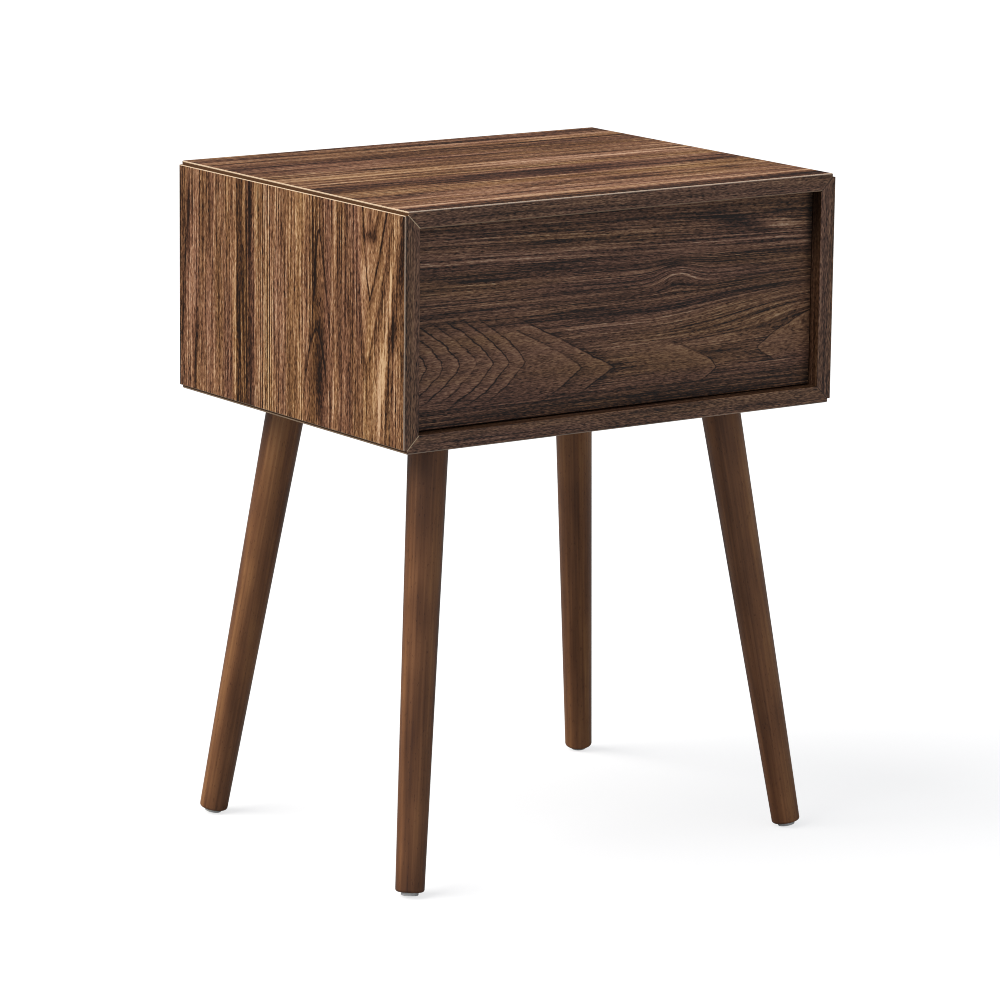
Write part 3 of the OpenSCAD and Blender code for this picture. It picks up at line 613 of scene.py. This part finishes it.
def moulded_plastic(name, colour_dark, colour_pale, gloss, seed, glow=0.0):
    """Moulded plastic: very fine spark texture and slightly uneven colour."""
    g = Graph(name)
    spark = g.noise(g.x * 2500, g.y * 2500, g.z * 2500 + seed, detail=1.0)
    cloud = g.noise(g.x * 120, g.y * 120, g.z * 120 + seed + 5, detail=2.0)
    colour = g.ramp(cloud * 0.9 + spark * 0.3 + 0.5, [(0.2, colour_dark), (0.8, colour_pale)])
    g.tree.links.new(colour.socket, g.shader.inputs["Base Color"])
    g.feed(g.shader.inputs["Roughness"], spark * 0.15 + cloud * 0.15 + gloss)
    g.bump(spark + 0.5, 0.02 * MM)
    g.set(Subsurface_Weight=glow, Subsurface_Radius=(0.004, 0.004, 0.003))
    return g.material


# ---- which node wears what ----


def dress(names, material):
    for name in names:
        mesh = NODES[name].data
        mesh.materials.clear()
        mesh.materials.append(material)


def dress_case():
    dress(["case_left_side"], left_side_veneer())
    dress(["case_right_side"], right_side_veneer())
    dress(["case_top"], top_veneer())
    dress(["case_bottom"], bottom_veneer())
    dress(["back_panel"], back_veneer())
    seed = 60.0
    for end in ("front", "rear"):
        for place, grain in (("top", "x"), ("bottom", "x"), ("left", "z"), ("right", "z")):
            dress([f"{end}_band_{place}"], band_veneer(end, place, grain, seed))
            seed += 7.0
    dress(["mitre_splines"], pale_wood("joint_wood", BEECH, "y", 5.0))


def dress_legs():
    """Each leg's grain runs along the line between the middles of its ends, to within a millimetre."""
    foot_radius, head_radius = 12 * MM, 17 * MM
    # Painted light: the right legs are made paler to make up for the case's shadow falling on them; the front
    # left leg is made darker.
    leg_tone_and_painted_light = {"front_left_leg": -0.1, "front_right_leg": 0.1, "back_left_leg": 0.0, "back_right_leg": 0.1}
    seed = 2.0
    for end in ENDS:
        for side in SIDES:
            leg = f"{end}_{side}_leg"
            low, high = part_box(leg)
            outward = Vector((-1 if side == "left" else 1, -1 if end == "front" else 1, 0))
            low_x, high_x = (low.x, high.x) if side == "left" else (high.x, low.x)
            low_y, high_y = (low.y, high.y) if end == "front" else (high.y, low.y)
            foot = Vector((low_x, low_y, low.z)) - outward * foot_radius
            head = Vector((high_x, high_y, high.z)) + outward * head_radius
            dress([leg], stained_beech(leg + "_beech", foot, head, seed, leg_tone_and_painted_light[leg]))
            seed += 9.0


def dress_drawer():
    dress(["drawer_front"], drawer_front_veneer())
    dress(["drawer_inner_front", "drawer_back"], pale_wood("birch_ply_x", BIRCH, "x", 15.0))
    dress(["drawer_left_side", "drawer_right_side"], pale_wood("birch_ply_y", BIRCH, "y", 25.0))
    dress(["drawer_bottom"], pale_wood("drawer_hardboard", HARDBOARD, "y", 35.0, streak=0.2))
    dress(["drawer_dowels"], pale_wood("dowel_beech", BEECH, "y", 45.0))


def dress_metal_and_plastic():
    zinc = plated_steel("zinc_plate", "#a6a7a9", "#d4d5d6", 900, 0.38, 1.0)
    rolled = plated_steel("rolled_slide_steel", "#a6a8aa", "#d4d5d7", 30, 0.36, 2.0)
    balls = plated_steel("ball_steel", "#8f9297", "#d3d6da", 900, 0.18, 3.0)
    spring = plated_steel("spring_steel", "#74777c", "#a9adb3", 900, 0.30, 4.0)
    grey = moulded_plastic("grey_plastic", "#3a3b3d", "#4b4c4f", 0.5, 6.0)
    white = moulded_plastic("white_plastic", "#cfcfca", "#e4e4df", 0.42, 7.0)
    glide = moulded_plastic("glide_plastic", "#cdcdc8", "#e6e6e2", 0.30, 8.0, glow=0.3)
    dress([f"{end}_{side}_leg_plate" for end in ENDS for side in SIDES], zinc)
    dress(["leg_plate_nuts", "leg_hanger_bolts", "leg_plate_screws", "glide_nails", "drawer_front_screws",
           "cabinet_slide_screws", "drawer_slide_screws", "latch_screws", "strike_plate",
           "strike_plate_screws"], zinc)
    dress([f"{side}_{part}_slide" for side in SIDES for part in ("cabinet", "middle", "drawer")], rolled)
    dress([f"{side}_{part}_ball_cage" for side in SIDES for part in ("outer", "inner")], balls)
    dress(["latch_spring", "latch_magnet"], spring)
    dress(["latch_housing"], grey)
    dress(["latch_plunger"], white)
    dress([f"{end}_{side}_glide" for end in ENDS for side in SIDES], glide)


# ---- stage: floor, light and camera ----


def pale_floor():
    """A floor far wider than the view, at the height of the table's feet."""
    half = 8.0
    mesh = bpy.data.meshes.new("floor")
    corners = [(-half, -half, 0), (half, -half, 0), (half, half, 0), (-half, half, 0)]
    mesh.from_pydata(corners, [], [(0, 1, 2, 3)])
    floor = bpy.data.objects.new("floor", mesh)
    bpy.context.scene.collection.objects.link(floor)
    mesh.materials.append(floor_finish())


def floor_finish():
    """Pale and matt. It also glows where the camera sees it, but throws none of that glow at the object."""
    material = bpy.data.materials.new("pale_floor")
    material.use_nodes = True
    nodes, links = material.node_tree.nodes, material.node_tree.links
    nodes.clear()
    matt, dull = nodes.new("ShaderNodeBsdfDiffuse"), nodes.new("ShaderNodeBsdfDiffuse")
    glow, both = nodes.new("ShaderNodeEmission"), nodes.new("ShaderNodeAddShader")
    mix, path = nodes.new("ShaderNodeMixShader"), nodes.new("ShaderNodeLightPath")
    matt.inputs["Color"].default_value = (0.38, 0.38, 0.38, 1)
    glow.inputs["Strength"].default_value = 0.73
    dull.inputs["Color"].default_value = (0.34, 0.34, 0.34, 1)
    output = nodes.new("ShaderNodeOutputMaterial")
    links.new(matt.outputs[0], both.inputs[0])
    links.new(glow.outputs[0], both.inputs[1])
    links.new(path.outputs["Is Camera Ray"], mix.inputs[0])
    links.new(dull.outputs[0], mix.inputs[1])
    links.new(both.outputs[0], mix.inputs[2])
    links.new(mix.outputs[0], output.inputs["Surface"])
    return material


def white_room(bright, dim):
    """White to look at. The light that it gives is softer, bright from the front left and dim from behind."""
    world = bpy.data.worlds.new("white_room")
    bpy.context.scene.world = world
    world.use_nodes = True
    nodes, links = world.node_tree.nodes, world.node_tree.links
    nodes.clear()
    seen, lit = nodes.new("ShaderNodeBackground"), nodes.new("ShaderNodeBackground")
    seen.inputs["Strength"].default_value = 1.0
    seen.inputs["Color"].default_value = (1, 1, 1, 1)
    lit.inputs["Color"].default_value = (0.95, 1.0, 1.10, 1)
    place, towards = nodes.new("ShaderNodeTexCoord"), nodes.new("ShaderNodeVectorMath")
    share = nodes.new("ShaderNodeMapRange")
    towards.operation = "DOT_PRODUCT"
    towards.inputs[1].default_value = (-0.56, -0.80, 0.2)
    share.inputs["From Min"].default_value = -1.0
    share.inputs["To Min"].default_value = dim
    share.inputs["To Max"].default_value = bright
    links.new(place.outputs["Generated"], towards.inputs[0])
    links.new(towards.outputs["Value"], share.inputs["Value"])
    links.new(share.outputs["Result"], lit.inputs["Strength"])
    mix, path = nodes.new("ShaderNodeMixShader"), nodes.new("ShaderNodeLightPath")
    output = nodes.new("ShaderNodeOutputWorld")
    links.new(path.outputs["Is Camera Ray"], mix.inputs[0])
    links.new(lit.outputs[0], mix.inputs[1])
    links.new(seen.outputs[0], mix.inputs[2])
    links.new(mix.outputs[0], output.inputs["Surface"])


def soft_sun(name, towards, strength, spread_deg, colour):
    """Even light from a wide soft source in that direction from the object."""
    light = bpy.data.lights.new(name, "SUN")
    light.energy = strength
    light.color = colour
    light.angle = math.radians(spread_deg)
    lamp = bpy.data.objects.new(name, light)
    bpy.context.scene.collection.objects.link(lamp)
    lamp.rotation_mode = "QUATERNION"
    lamp.rotation_quaternion = Vector(towards).to_track_quat("Z", "Y")


def camera():
    """A long lens from the front left, a little above the table. Angles in radians, places in metres."""
    place = Vector((-2.3753, -3.3616, 1.1611))
    yaw, pitch, roll = 0.6146, 0.2082, 0.0115
    level = Vector((math.sin(yaw), math.cos(yaw), 0.0))
    forward = level * math.cos(pitch) - Vector((0.0, 0.0, math.sin(pitch)))
    right = Vector((math.cos(yaw), -math.sin(yaw), 0.0))
    up = right.cross(forward)
    rolled_right = right * math.cos(roll) + up * math.sin(roll)
    rolled_up = up * math.cos(roll) - right * math.sin(roll)
    turn = Matrix((rolled_right, rolled_up, -forward)).transposed()
    data = bpy.data.cameras.new("camera")
    data.sensor_width = 36.0
    data.lens = 171.5
    data.clip_start, data.clip_end = 0.1, 100.0
    eye = bpy.data.objects.new("camera", data)
    eye.matrix_world = Matrix.Translation(place) @ turn.to_4x4()
    bpy.context.scene.collection.objects.link(eye)
    bpy.context.scene.camera = eye


def light_and_view():
    white_room(bright=0.54, dim=0.14)
    soft_sun("key", towards=(-0.62, 0.22, 0.72), strength=3.0, spread_deg=50, colour=(1.0, 0.975, 0.94))
    view = bpy.context.scene.view_settings
    view.view_transform = "Standard"
    view.look = "None"
    bpy.context.scene.cycles.filter_width = 1.0


dress_case()
dress_legs()
dress_drawer()
dress_metal_and_plastic()
pale_floor()
camera()
light_and_view()
